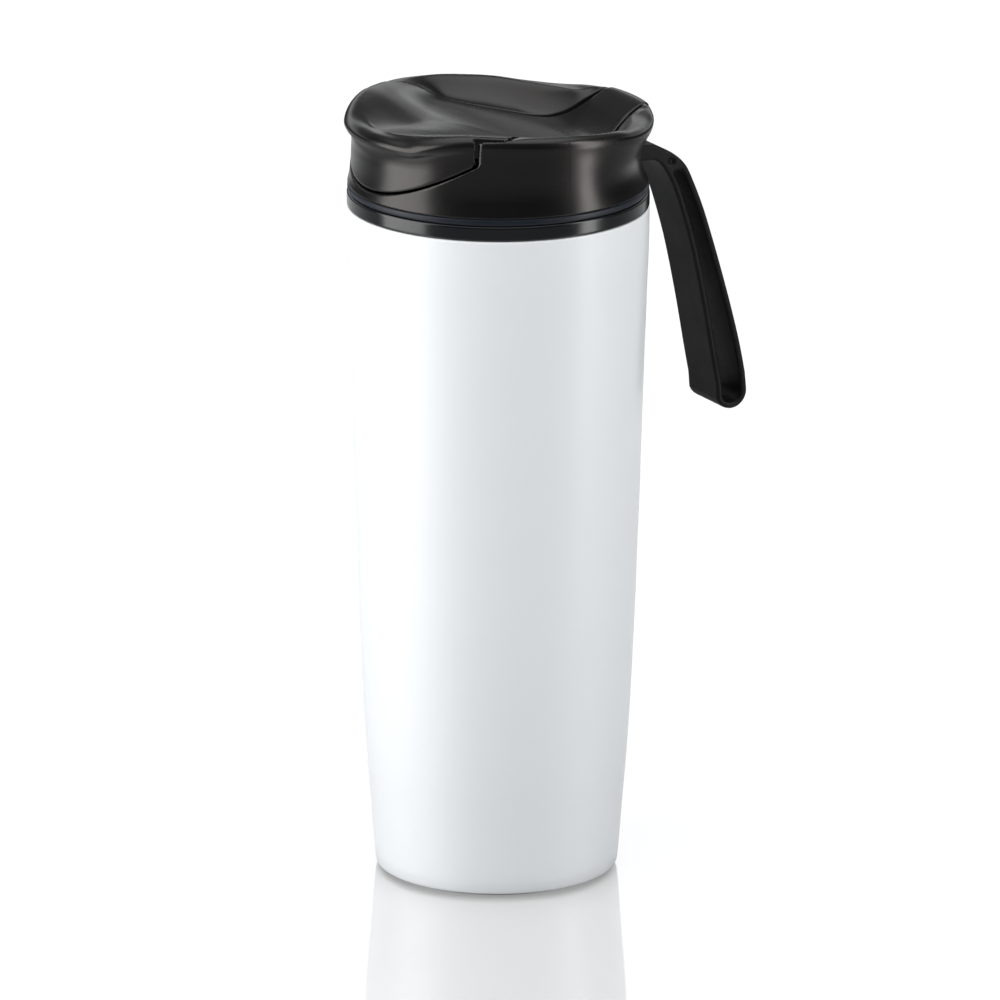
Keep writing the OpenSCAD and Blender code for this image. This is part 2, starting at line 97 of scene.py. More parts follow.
SHELL_R = mm_box("outer_shell")[1][0]
SHELL_FOOT_H = height(mm_box("outer_shell")[0][2])
COLLAR_FOOT_H = height(mm_box("collar")[0][2])
COLLAR_TOP_H = height(mm_box("collar")[1][2])
BORE_R = -mm_box("lid_gasket")[0][0] - SEAL_WIDTH
LINER_R = mm_box("inner_liner")[1][0] - LINER_FLANGE
SEAL_LOW_H = height(mm_box("lid_gasket")[0][2])
SEAL_HIGH_H = height(mm_box("lid_gasket")[1][2])
LID_H = SEAL_HIGH_H + SEAL_CLEARANCE
DECK_H = LID_H + DECK_T
TUBE_FOOT_H = height(mm_box("lid_body")[0][2])
HINGE_X = joint("cap_hinge")["pos_m"][0] / MM
HINGE_H = height(joint("cap_hinge")["pos_m"][2] / MM)
SPOUT_X = sum(b[0] for b in mm_box("spout_stopper")) / 2
SPOUT_TOP_H = height(mm_box("spout_stopper")[0][2]) + STOPPER_DEPTH
VENT_X = sum(b[0] for b in mm_box("vent_stopper")) / 2
POST_H = height(mm_box("vent_stopper")[1][2])
PLATE_TOP_H = height(mm_box("cap_inner_plate")[1][2])
PLATE_SCREW_X = sum(b[0] for b in mm_box("cap_plate_screws")) / 2
PLATE_SCREW_Y = mm_box("cap_plate_screws")[1][1] - SCREW_HEAD_R
SOCKET_X = mm_box("handle")[0][0] - FIT
STRAP_HALF = mm_box("handle")[1][1]
HANDLE_TIP_X = mm_box("handle")[1][0]

# --- Curves -------------------------------------------------------------------------------


def curve(points, steps=16):
    """A smooth curve through (x, y) points with rising x, as a function of x."""
    x, y = np.array(points, float).T
    slope = np.gradient(y, x)
    spans = [np.linspace(a, b, steps, endpoint=False) for a, b in zip(x, x[1:])]
    fine = np.concatenate(spans + [x[-1:]])
    i = np.clip(np.searchsorted(x, fine, side="right") - 1, 0, len(x) - 2)
    width = x[i + 1] - x[i]
    t = (fine - x[i]) / width
    value = (y[i] * (1 + 2 * t) * (1 - t) ** 2 + slope[i] * width * t * (1 - t) ** 2
             + y[i + 1] * t * t * (3 - 2 * t) + slope[i + 1] * width * t * t * (t - 1))
    return lambda at: np.interp(at, fine, value)


def ramp(x, low, high):
    """0 below low, 1 above high, and smooth between."""
    t = np.clip((x - low) / (high - low), 0, 1)
    return t * t * (3 - 2 * t)


def both(*fields, blend=0.0):
    """Where all the solids are. blend rounds the edges between them."""
    result = fields[0]
    for field in fields[1:]:
        near = np.maximum(blend - np.abs(result - field), 0)
        result = np.maximum(result, field) + near * near / (4 * np.maximum(blend, 1e-6))
    return result


def either(*fields, blend=0.0):
    """Where any of the solids is."""
    return -both(*[-field for field in fields], blend=blend)


# --- The lid's outside, shared by the lid body and the cap ---------------------------------

# Radius against height, beside the lid, at the handle and at the drinking lip, for a rim RIM_REF_H high.
# Above RIM_SHIFT_H the outline follows the rim's own height.
RIM_REF_H = 26.6
RIM_SHIFT_H = (14, 22)
SIDE_R = curve([(6, 41), (7.5, 40.75), (10, 40.3), (14, 40), (18, 40), (22, 40.15), (25, 40.5),
                (29, 40.6)])
HANDLE_R = curve([(6, 40.9), (8, 39.9), (10, 39.15), (12, 38.65), (14, 38.5), (16, 38.75), (18, 39.3),
                  (20, 39.95), (22, 40.8), (24, 42.1), (26, 43.7), (29, 44.8)])
LIP_R = curve([(6, 41), (8, 40.5), (11, 40.1), (16, 39.8), (19, 39.75), (20.5, 39.9), (22, 40.4),
               (23.2, 41.3), (24.5, 42), (26, 41.9), (29, 41.3)])

# Angles from the drinking side, in degrees, over which the wall changes from one outline to the next
LIP_TO_SIDE = (25, 58)
SIDE_TO_HANDLE = (95, 150)

# Heights of the top against x, along its middle and along its rim
MIDDLE_H = curve([(-44, 25.2), (-36, 25.1), (-28, 25.15), (-22, 25.95), (-17.5, 26.2), (-13, 25.7),
                  (-8, 24.6), (-2, 22.9), (4, 21.4), (10, 20.1), (16, 18.8), (21, 17.8), (24.5, 17.8),
                  (28, 19.1), (32, 21.6), (36, 24), (38.5, 25.2), (44, 25.7)])
RIM_H = curve([(-44, 25.2), (-40, 25.2), (-37, 25.3), (-34.5, 26.3), (-32, 27.2), (-26, 28.4),
               (-19, 28.4), (-12, 28.1), (-4, 27.6), (4, 27.2), (10, 26.6), (18, 25.7), (24, 24.7),
               (28, 24.3), (31, 24.15), (34, 24.3), (37, 24.9), (44, 25.8)])

# Half width of the cap's tongue against x, which ends in a tail of even width
TAIL_HALF = 9.8
TONGUE_Y = curve([(-26, 36), (-18.7, 35.5), (-15.3, 34.5), (-10.2, 33), (-5.4, 31), (2.6, 28), (8, 25),
                  (15.1, 21), (22.5, 16.9), (25.7, 14.6), (29, 12.4), (34, 10.5), (39.2, TAIL_HALF),
                  (45, TAIL_HALF)])

# The top: where the shoulders start and how they rise to the rim
SHOULDER_X = 1
SHOULDER_LEAST = 4
RISE_POWER = 1.6
RIM_R = 36.8
BACK_X = (10, 32)
BACK_EXTRA = 1.2
EDGE_BLEND = 3.4
INNER_BLEND = 0.6
SKIN = 2.2
WALL = 2.0

# The step between the cap's skirt and the lid's wall, and the smile-shaped lower edge of the skirt
STEP_X = -24.2
STEP_GAP = 0.9
STEP_CORNER = 0.9
STEP_LAP = 2
SMILE_MIDDLE_H = 58.2
SMILE_R = 49.2

# The wings: how deep they lap over the rim, where they taper out, and how clear of the rim they stay behind
WING_R = 39.1
WING_DEPTH = 0.6
WING_TAPER_X = (-21, -6)
WING_TAPER = 1.1
WING_CLEAR_X = (-4, 16)
WING_CLEAR = 3
WING_Y = 20

# The seam beside the tongue, as shares of the step's gap, and how round its edges are
SEAM_SHARE = 0.15
SEAM_WIDER = 1.05
SEAM_WIDER_X = (2, 28)
SEAM_BLEND = 0.65
SEAM_CRISPER = 0.45
SEAM_ROUND_X = (0, 20)

# Factors that turn each field back into about a distance
WALL_SLOPE = 0.95
TOP_SLOPE = 0.9
SEAM_SLOPE = 0.85


def wall_r(x, y, h):
    """Outer radius of the lid in the direction of (x, y) at height h."""
    angle = np.degrees(np.arctan2(np.abs(y), -x))
    h = h + (RIM_REF_H - RIM_H(x)) * ramp(h, *RIM_SHIFT_H)
    side = SIDE_R(h)
    to_handle = ramp(angle, *SIDE_TO_HANDLE)
    to_lip = 1 - ramp(angle, *LIP_TO_SIDE)
    return side + to_handle * (HANDLE_R(h) - side) + to_lip * (LIP_R(h) - side)


def circle_y(x, radius):
    return np.sqrt(np.maximum(radius ** 2 - x * x, 0))


def tongue_y(x):
    return np.minimum(TONGUE_Y(x), np.maximum(circle_y(x, WING_R), TAIL_HALF))


def top_h(x, y):
    """Height of the lid's top: a wave along x, with shoulders that rise to the rim."""
    flat = tongue_y(x) * ramp(x, STEP_X, SHOULDER_X)
    edge = both(circle_y(x, RIM_R - ramp(x, *BACK_X)), flat + SHOULDER_LEAST, blend=2)
    rise = np.clip((np.abs(y) - flat) / (edge - flat), 0, 3) ** RISE_POWER
    share = either(rise, np.ones_like(rise), blend=0.3)
    middle = MIDDLE_H(x)
    return middle + (RIM_H(x) - middle) * share


def lid_outside(x, y, h, inset=0.0):
    """The lid with its cap closed, or the room inside it when inset is a wall thickness."""
    radius = np.hypot(x, y)
    wall = (radius - wall_r(x, y, h) + inset) * WALL_SLOPE
    top = (h - top_h(x, y) + inset * SKIN / WALL) * TOP_SLOPE
    return both(wall, top, blend=INNER_BLEND if inset else EDGE_BLEND + BACK_EXTRA * ramp(x, *BACK_X))


def cap_front(x, y, h, gap=0.0):
    """In front of the step and above the smile-shaped edge of the skirt, grown by gap."""
    smile_h = SMILE_MIDDLE_H - np.sqrt(np.maximum(SMILE_R ** 2 - y * y, 1))
    return both(x - STEP_X - gap, (smile_h - gap / 2 - h) * SEAM_SLOPE, blend=STEP_CORNER)


def cap_wing(x, y, h, gap=0.0):
    """The corners of the cap that lap over the rim behind the step, grown by gap."""
    edge_h = (RIM_H(x) - WING_DEPTH + WING_TAPER * ramp(x, *WING_TAPER_X)
              + WING_CLEAR * ramp(x, *WING_CLEAR_X))
    return both((edge_h - gap / 2 - h) * TOP_SLOPE, STEP_X - STEP_LAP - x, WING_Y - np.abs(y))


def cap_tongue(x, y, gap=0.0):
    """Between the edges of the tongue, grown by a gap that widens towards the tail."""
    wider = gap * (SEAM_SHARE + SEAM_WIDER * ramp(x, *SEAM_WIDER_X))
    return both((np.abs(y) - tongue_y(x) - wider) * SEAM_SLOPE, STEP_X - STEP_LAP - x)


def seam_blend(x):
    """How round the edges of the seam are: crisp along the front of the tongue."""
    return SEAM_BLEND - SEAM_CRISPER * ramp(x, STEP_X, STEP_X + 8) + SEAM_CRISPER * ramp(x, *SEAM_ROUND_X)


def rod(x, y, h, at, radius, low, high, blend=0.3):
    """An upright cylinder."""
    across = np.hypot(x - at[0], y - at[1]) - radius
    return both(across, low - h, h - high, blend=blend)


def block(x, y, h, low, high, blend=0.3):
    return both(low[0] - x, x - high[0], low[1] - y, y - high[1], low[2] - h, h - high[2], blend=blend)


def hinge_bore(x, h, radius):
    return np.hypot(x - HINGE_X, h - HINGE_H) - radius


# --- Flip cap --------------------------------------------------------------------------------

# Outside WALL_INNER_R the tongue is only as deep as the notch in the wall, down to WING_LOW_H
TAIL_R = 5.6
WALL_INNER_R = 37.2
WING_LOW_H = 22

# Bosses, post and peg below the cap's skin, and the hinge's bore
SKIN_TOP_H = 27
ABOVE_H = 30
BOSS_R = 2.4
POST_R = 2.2
VENT_R = 1.2
PEG_LENGTH = 1.15
CAP_BORE_R = 1.06
CAP_BORE_HALF = 12


def flip_cap(x, y, h):
    """The cap's skin, the tail round the hinge, and what hangs from the skin."""
    over_wall = either(np.hypot(x, y) - WALL_INNER_R, WING_LOW_H + STEP_GAP / 2 - h)
    tongue = both(cap_tongue(x, y), over_wall)
    plan = either(cap_front(x, y, h), tongue, cap_wing(x, y, h), blend=0.5)
    outside = lid_outside(x, y, h)
    void = lid_outside(x, y, h, inset=WALL)
    shell = both(both(outside, plan, blend=seam_blend(x)), -void, blend=0.4)
    tail = both(outside, hinge_bore(x, h, TAIL_R), np.abs(y) - TAIL_HALF, blend=0.6)
    skin = both(void, h - ABOVE_H)
    screw_at = (PLATE_SCREW_X, PLATE_SCREW_Y)
    bosses = both(rod(x, np.abs(y), h, screw_at, BOSS_R, PLATE_TOP_H + FIT, SKIN_TOP_H), skin)
    post = both(rod(x, y, h, (VENT_X, 0), POST_R, POST_H + FIT, SKIN_TOP_H), skin)
    peg = rod(x, y, h, (VENT_X, 0), VENT_R, POST_H - PEG_LENGTH, POST_H + 1)
    solid = either(shell, tail, blend=0.5)
    solid = either(solid, bosses, post, blend=0.6)
    bore = both(hinge_bore(x, h, CAP_BORE_R), np.abs(y) - CAP_BORE_HALF)
    return both(either(solid, peg), -bore, blend=0.2)


# --- Lid body --------------------------------------------------------------------------------

NOTCH_H = HINGE_H - TAIL_R - 0.1
SLOT_DROP_X = (5, 20)
WELD_R = 33.4
SPOUT_R = 6.3
SPOUT_WALL = 1.7

# The hinge's ears, the handle's root and socket, the screws and the pin
EAR_HALF = 4
EAR_Y = (10.7, 15.1)
ROOT_WALL = 2
ROOT_END_X = 44
OUTSIDE_X = 60
ARM_LOW_H = 8.5
ARM_HIGH_H = 13
HANDLE_SCREW_Y = 5
HANDLE_SCREW_R = 1.05
HANDLE_SCREW_X = 25
LID_BORE_R = 1.02
LID_BORE_HALF = 15


def slot_low_h(x):
    """How low the tongue's slot cuts the walls: only the edge in front, and the tail's notch behind."""
    return np.interp(x, SLOT_DROP_X, (WING_LOW_H, NOTCH_H))


def lid_body(x, y, h):
    """The lid without its cap: wall, deck, hollow shoulders, spout tube and the handle's root."""
    radius = np.hypot(x, y)
    inner = (radius - wall_r(x, y, h) + WALL) * WALL_SLOPE
    tongue = cap_tongue(x, y, STEP_GAP)
    front_cut = either(cap_front(x, y, h, STEP_GAP), cap_wing(x, y, h, STEP_GAP), blend=1.4)
    cap_cut = either(front_cut, both(tongue, slot_low_h(x) - h))
    room = both(either(tongue, x - STEP_X - STEP_GAP), inner, DECK_H - h)
    shoulders = both(-tongue + WALL, inner, h - top_h(x, y) + SKIN, either(DECK_H - h, radius - WELD_R))
    side = np.abs(y)
    ears = block(x, side, h, (HINGE_X - EAR_HALF, EAR_Y[0], HINGE_H - EAR_HALF),
                 (HINGE_X + EAR_HALF, EAR_Y[1], ABOVE_H))
    shoulders = both(shoulders, -ears, STEP_X + STEP_GAP - x)
    solid = both(lid_outside(x, y, h), LID_H - h, blend=0.5)
    solid = both(solid, -cap_cut, blend=seam_blend(x))
    solid = both(solid, -room, -shoulders, blend=0.4)
    root = both(block(x, y, h, (SOCKET_X - ROOT_WALL, -STRAP_HALF - ROOT_WALL, LID_H),
                      (ROOT_END_X, STRAP_HALF + ROOT_WALL, NOTCH_H)),
                (radius - wall_r(x, y, h) + WALL / 2) * WALL_SLOPE)
    tube = rod(x, y, h, (SPOUT_X, 0), SPOUT_R + SPOUT_WALL, TUBE_FOOT_H, SPOUT_TOP_H, blend=0.7)
    boss = rod(x, y, h, (VENT_X, 0), BOSS_R, TUBE_FOOT_H, LID_H + 1)
    solid = either(solid, root, tube, boss, blend=0.5)
    bore = np.hypot(x - SPOUT_X, y) - SPOUT_R
    vent = np.hypot(x - VENT_X, y) - VENT_R
    socket = block(x, y, h, (SOCKET_X, -STRAP_HALF - FIT, ARM_LOW_H - FIT),
                   (OUTSIDE_X, STRAP_HALF + FIT, ARM_HIGH_H + FIT))
    screw_h = (ARM_LOW_H + ARM_HIGH_H) / 2
    screws = both(np.hypot(side - HANDLE_SCREW_Y, h - screw_h) - HANDLE_SCREW_R, HANDLE_SCREW_X - x)
    pin = both(hinge_bore(x, h, LID_BORE_R), side - LID_BORE_HALF)
    for cut, blend in ((bore, 0.7), (vent, 0.2), (socket, 0.3), (screws, 0.2), (pin, 0.2)):
        solid = both(solid, -cut, blend=blend)
    return solid


# --- Collar ----------------------------------------------------------------------------------

LEAD = 16
RIDGES = 4
RIDGE_SWEEP = 72
RIDGE_H = -3.1
RIDGE_HALF = 0.8
RIDGE_FLANK = 0.4
RIDGE_DEPTH = 1.2
SKIRT_INSET = 2.6
LEDGE_INSET = 3
LEDGE_H = (-11, -9)


def collar(x, y, h):
    radius = np.hypot(x, y)
    body = both(BORE_R - radius, radius - SHELL_R, FIT - h, h - COLLAR_TOP_H, blend=0.7)
    skirt = both(BORE_R - 0.1 - radius, radius - SHELL_R + SKIRT_INSET, COLLAR_FOOT_H - h, h - 1, blend=0.4)
    ledge = both(LINER_R - radius, radius - SHELL_R + LEDGE_INSET, LEDGE_H[0] - h, h - LEDGE_H[1], blend=0.5)
    turn = np.degrees(np.arctan2(y, x)) % (360 / RIDGES)
    along = h - RIDGE_H - LEAD * turn / 360
    ends = np.abs(turn - RIDGE_SWEEP / 2) - RIDGE_SWEEP / 2
    flank = np.abs(along) * 0.9 - RIDGE_HALF + RIDGE_FLANK * (BORE_R - radius)
    ridge = both(flank, BORE_R - RIDGE_DEPTH - radius, radius - BORE_R - 1, ends * 0.6, blend=0.3)
    return either(either(body, skirt, blend=0.3), ledge, ridge, blend=0.4)


# --- Handle ----------------------------------------------------------------------------------

LEG = 1.8
FOOT_R = 4.8
FOOT = (HANDLE_TIP_X - FOOT_R, -60)
FOOT_TURN = (8, -158)
OUTER_LEG = [(SOCKET_X + FIT, ARM_HIGH_H), (42.5, ARM_HIGH_H), (47, 11.3), (51, 8.8), (53.8, 5.9),
             (55.9, 1.8), (59.1, -6), (62.1, -15), (65.3, -25.4), (68.3, -35.8), (71, -46.2), (72.8, -54.8)]
INNER_LEG = [(63.7, -57.4), (62, -48.8), (60.1, -38.5), (58, -28.2), (55.6, -17.8), (53.1, -9.1),
             (50.8, -2.1), (48.8, 2.6), (46.6, 6.2), (44.6, 8), (42.5, ARM_LOW_H),
             (SOCKET_X + FIT, ARM_LOW_H)]
SLOT_TOP = (51, 4.8)
SLOT_AXIS = (0.26, -0.97)
DIMPLE = (49.2, 7.6)
DIMPLE_R = 1.2
DIMPLE_OUT = 0.6


def smooth_path(points, steps=8):
    """Points along a smooth path through the given points."""
    p = np.array([points[0]] + list(points) + [points[-1]], float)
    t = np.linspace(0, 1, steps, endpoint=False)[:, None]
    spans = [0.5 * (2 * b + (c - a) * t + (2 * a - 5 * b + 4 * c - d) * t ** 2
                    + (3 * b - a - 3 * c + d) * t ** 3)
             for a, b, c, d in zip(p, p[1:], p[2:], p[3:])]
    return np.concatenate(spans + [p[-1:]])


def foot_arc(radius, steps=14):
    angles = np.radians(np.linspace(*FOOT_TURN, steps))
    return [(FOOT[0] + radius * math.cos(a), FOOT[1] + radius * math.sin(a)) for a in angles]


HANDLE_OUTLINE = np.concatenate([smooth_path(OUTER_LEG), foot_arc(FOOT_R), smooth_path(INNER_LEG)])


def inside_outline(x, h, outline):
    """Signed distance to a closed outline in the XZ plane, below 0 inside."""
    nearest = np.full(x.shape, 1e9)
    crossings = np.zeros(x.shape, bool)
    for (ax, az), (bx, bz) in zip(outline, np.roll(outline, -1, axis=0)):
        ex, ez = bx - ax, bz - az
        length = ex * ex + ez * ez
        if length < 1e-12:
            continue
        t = np.clip(((x - ax) * ex + (h - az) * ez) / length, 0, 1)
        nearest = np.minimum(nearest, (x - ax - t * ex) ** 2 + (h - az - t * ez) ** 2)
        if ez:
            crossings ^= ((az > h) != (bz > h)) & (x < ax + (h - az) * ex / ez)
    return np.sqrt(nearest) * np.where(crossings, -1, 1)


def handle(x, y, h):
    shape = inside_outline(x, h, HANDLE_OUTLINE)
    from_top = (x - SLOT_TOP[0]) * SLOT_AXIS[0] + (h - SLOT_TOP[1]) * SLOT_AXIS[1]
    slot = both(shape + LEG, -from_top, blend=1.2)
    strap = both(shape, -slot, blend=0.5)
    strap = both(strap, np.abs(y) - STRAP_HALF, blend=0.8)
    beside = np.abs(y) - STRAP_HALF - DIMPLE_OUT
    dimple = np.sqrt((x - DIMPLE[0]) ** 2 + beside ** 2 + (h - DIMPLE[1]) ** 2) - DIMPLE_R
    return both(strap, -dimple, blend=0.3)


# --- Meshes ------------------------------------------------------------------------------------


def gradient(shape, points, reach=0.02):
    """Direction in which the distance grows fastest, at each point."""
    parts = []
    for axis in range(3):
        ahead, behind = points.copy(), points.copy()
        ahead[:, axis] += reach
        behind[:, axis] -= reach
        parts.append((shape(*ahead.T) - shape(*behind.T)) / (2 * reach))
    return np.stack(parts, axis=1)


def surface(shape, low, high, step):
    """Closed quads around the solid where shape(x, y, h) is below 0."""
    axes = [np.arange(low[i], high[i] + step, step) for i in range(3)]
    yy, hh = np.meshgrid(axes[1], axes[2], indexing="ij")
    grid = np.stack([shape(np.full_like(yy, x), yy, hh) for x in axes[0]])
    cells = tuple(n - 1 for n in grid.shape)
    total = np.zeros(cells + (3,))
    count = np.zeros(cells, np.int32)
    starts = {0: slice(0, -1), 1: slice(1, None)}
    quads = []
    crossing = {}
    for axis in range(3):
        others = [i for i in range(3) if i != axis]
        lower, upper = [slice(None)] * 3, [slice(None)] * 3
        lower[axis], upper[axis] = slice(0, -1), slice(1, None)
        a, b = grid[tuple(lower)], grid[tuple(upper)]
        mixed = (a < 0) != (b < 0)
        at = np.where(mixed, a / np.where(mixed, a - b, 1), 0)
        crossing[axis] = (mixed, a < 0)
        for first in (0, 1):
            for second in (0, 1):
                pick = [slice(None)] * 3
                pick[others[0]], pick[others[1]] = starts[first], starts[second]
                hit = mixed[tuple(pick)]
                count += hit
                total[..., axis] += np.where(hit, at[tuple(pick)], 0)
                total[..., others[0]] += hit * first
                total[..., others[1]] += hit * second
    used = count > 0
    number = np.full(cells, -1, np.int64)
    number[used] = np.arange(used.sum())
    corner = np.argwhere(used)
    points = (corner + total[used] / count[used][:, None]) * step + np.array([a[0] for a in axes])
    for axis in range(3):
        mixed, starts_inside = crossing[axis]
        others = [(axis + 1) % 3, (axis + 2) % 3]
        where = np.argwhere(mixed)
        edge_free = np.all([(where[:, o] > 0) & (where[:, o] < cells[o]) for o in others], axis=0)
        where = where[edge_free]
        ring = []
        for back in ((1, 1), (0, 1), (0, 0), (1, 0)):
            cell = where.copy()
            cell[:, others[0]] -= back[0]
            cell[:, others[1]] -= back[1]
            ring.append(number[tuple(cell.T)])
        ring = np.stack(ring, axis=1)
        flip = ~starts_inside[tuple(where.T)]
        ring[flip] = ring[flip][:, ::-1]
        quads.append(ring)
    return points, np.concatenate(quads)


def relax(points, quads, amount=0.5):
    """Moves each point towards the middle of the faces around it."""
    centres = points[quads].mean(axis=1)
    total = np.zeros_like(points)
    count = np.zeros(len(points))
    for k in range(4):
        np.add.at(total, quads[:, k], centres)
        np.add.at(count, quads[:, k], 1)
    return points + amount * (total / count[:, None] - points)


def settle(shape, points, rounds, limit):
    """Moves points onto the surface where shape is 0."""
    for _ in range(rounds):
        slope = gradient(shape, points)
        steep = np.maximum((slope ** 2).sum(axis=1), 0.05)
        move = -shape(*points.T)[:, None] * slope / steep[:, None]
        size = np.linalg.norm(move, axis=1, keepdims=True)
        points = points + move * np.minimum(1, limit / np.maximum(size, 1e-9))
    return points


def new_piece(name, points, faces, normals=None):
    """A Blender object from points in millimetres whose z is a height above COLLAR_Z."""
    mesh = bpy.data.meshes.new(name)
    placed = (np.asarray(points, float) + [0, 0, COLLAR_Z]) * MM
    mesh.from_pydata(placed.tolist(), [], [list(map(int, f)) for f in faces])
    mesh.update()
    mesh.shade_smooth()
    if normals is not None:
        mesh.normals_split_custom_set_from_vertices(normals.tolist())
    piece = bpy.data.objects.new(name, mesh)
    bpy.context.scene.collection.objects.link(piece)
    return piece


def carve(name, shape, low, high, step=0.45):
    """A fine closed mesh of the solid that shape describes."""
    points, quads = surface(shape, low, high, step)
    for _ in range(2):
        points = settle(shape, relax(points, quads), 1, step / 2)
    points = settle(shape, points, 2, step / 2)
    slope = gradient(shape, points)
    normals = slope / np.maximum(np.linalg.norm(slope, axis=1, keepdims=True), 1e-9)
    return new_piece(name, points, quads, normals)


def rounded(corners, steps=6):
    """A closed outline of (r, h) points from corners (r, h, fillet radius)."""
    outline = []
    for i, (r, h, fillet) in enumerate(corners):
        here = np.array([r, h], float)
        if not fillet:
            outline.append(here)
            continue
        before = np.array(corners[i - 1][:2], float) - here
        after = np.array(corners[(i + 1) % len(corners)][:2], float) - here
        before /= np.linalg.norm(before)
        after /= np.linalg.norm(after)
        half = math.acos(np.clip(before @ after, -1, 1)) / 2
        back = fillet / math.tan(half)
        middle = here + (before + after) / np.linalg.norm(before + after) * fillet / math.sin(half)
        start, end = here + before * back - middle, here + after * back - middle
        sweep = math.acos(np.clip(start @ end / fillet ** 2, -1, 1))
        for k in range(steps + 1):
            t = k / steps
            turned = start * math.sin((1 - t) * sweep) + end * math.sin(t * sweep)
            outline.append(middle + turned / math.sin(sweep))
    return outline


def spin(name, outline, sides=256):
    """A closed ring or disc made by turning an outline about the axis."""
    outline = np.array(outline, float)
    angles = np.linspace(0, 2 * math.pi, sides, endpoint=False)
    points, rows = [], []
    for r, h in outline:
        if r < 1e-6:
            rows.append([len(points)] * sides)
            points.append((0, 0, h))
        else:
            rows.append(list(range(len(points), len(points) + sides)))
            points += [(r * math.cos(a), r * math.sin(a), h) for a in angles]
    faces = []
    for low, high in zip(rows, rows[1:] + rows[:1]):
        for i in range(sides):
            j = (i + 1) % sides
            face = list(dict.fromkeys([low[i], low[j], high[j], high[i]]))
            if len(face) > 2:
                faces.append(face)
    area = sum(a[0] * b[1] - b[0] * a[1] for a, b in zip(outline, np.roll(outline, -1, axis=0)))
    if area < 0:
        faces = [face[::-1] for face in faces]
    return new_piece(name, points, faces)


# --- Materials ----------------------------------------------------------------------------------


def map_range(tree, value, low, high, to_low, to_high):
    """A smooth step from to_low, where value is low, to to_high, where it is high."""
    node = tree.nodes.new("ShaderNodeMapRange")
    node.interpolation_type = "SMOOTHSTEP"
    for key, number in zip(("From Min", "From Max", "To Min", "To Max"), (low, high, to_low, to_high)):
        node.inputs[key].default_value = number
    tree.links.new(value, node.inputs["Value"])
    return node.outputs["Result"]


def combined(tree, operation, *values):
    """A Math node over one or two values."""
    node = tree.nodes.new("ShaderNodeMath")
    node.operation = operation
    for value, socket in zip(values, node.inputs):
        tree.links.new(value, socket)
    return node.outputs["Value"]


class Surface:
    """A Principled material with shared helpers for its texture nodes."""

    def __init__(self, name, roughness, **sockets):
        self.material = bpy.data.materials.new(name)
        self.material.use_nodes = True
        self.tree = self.material.node_tree
        self.nodes, self.links = self.tree.nodes, self.tree.links
        self.shader = self.nodes["Principled BSDF"]
        self.shader.inputs["Roughness"].default_value = roughness
        for socket, value in sockets.items():
            self.shader.inputs[socket.replace("_", " ")].default_value = value
        self.place = self.nodes.new("ShaderNodeTexCoord").outputs["Object"]
        self.normal = None

    def stretched(self, scale):
        mapping = self.nodes.new("ShaderNodeMapping")
        mapping.inputs["Scale"].default_value = scale
        self.links.new(self.place, mapping.inputs["Vector"])
        return mapping.outputs["Vector"]

    def noise(self, scale, detail=3.0, place=None, roughness=0.5):
        node = self.nodes.new("ShaderNodeTexNoise")
        node.inputs["Scale"].default_value = scale
        node.inputs["Detail"].default_value = detail
        node.inputs["Roughness"].default_value = roughness
        self.links.new(place or self.place, node.inputs["Vector"])
        return node.outputs["Fac"]

    def ranged(self, value, to_low, to_high, low=0.25, high=0.75):
        return map_range(self.tree, value, low, high, to_low, to_high)

    def tinted(self, value, *stops):
        """Colour ramp over value, from (position, (r, g, b)) stops."""
        node = self.nodes.new("ShaderNodeValToRGB")
        elements = node.color_ramp.elements
        while len(elements) < len(stops):
            elements.new(0.5)
        for element, (position, colour) in zip(elements, stops):
            element.position = position
            element.color = (*colour, 1)
        self.links.new(value, node.inputs["Fac"])
        return node.outputs["Color"]

    def bump(self, value, distance, strength=1.0):
        node = self.nodes.new("ShaderNodeBump")
        node.inputs["Distance"].default_value = distance
        node.inputs["Strength"].default_value = strength
        self.links.new(value, node.inputs["Height"])
        if self.normal:
            self.links.new(self.normal, node.inputs["Normal"])
        self.normal = node.outputs["Normal"]

    def finish(self, colour, roughness=None):
        self.links.new(colour, self.shader.inputs["Base Color"])
        if roughness:
            self.links.new(roughness, self.shader.inputs["Roughness"])
        if self.normal:
            self.links.new(self.normal, self.shader.inputs["Normal"])
        return self.material


def shades(colour, spread):
    return [tuple(min(1, c * (1 + s)) for c in colour) for s in (-spread, 0, spread)]


def plastic(name, colour, roughness, spread=0.04, grain=2600, depth=2e-6, parted=False, **sockets):
    """Moulded plastic: slight colour and gloss drift, fine grain and flow ripple."""
    look = Surface(name, roughness, **sockets)
    if parted:
        parting_line(look)
    dark, mid, light = shades(colour, spread)
    drift = look.noise(38, 4)
    base = look.tinted(drift, (0.3, dark), (0.5, mid), (0.7, light))
    look.bump(look.noise(240, 2), depth * 2.5, 0.35)
    look.bump(look.noise(grain, 2), depth)
    smudge = look.noise(90, 5, roughness=0.6)
    return look.finish(base, look.ranged(smudge, roughness * 0.9, roughness * 1.12))


def lid_plastic(name, parted=False):
    return plastic(name, (0.0045, 0.0044, 0.0045), 0.25, spread=0.12, parted=parted,
                   Specular_IOR_Level=0.45, Specular_Tint=(1, 0.95, 0.92, 1))


# The mould's parting line on the lid, in metres, as texture coordinates are
PARTING_HALF = 0.00022
PARTING_DEPTH = 1.1e-4
PARTING_FROM_Y = (0.038, 0.039)


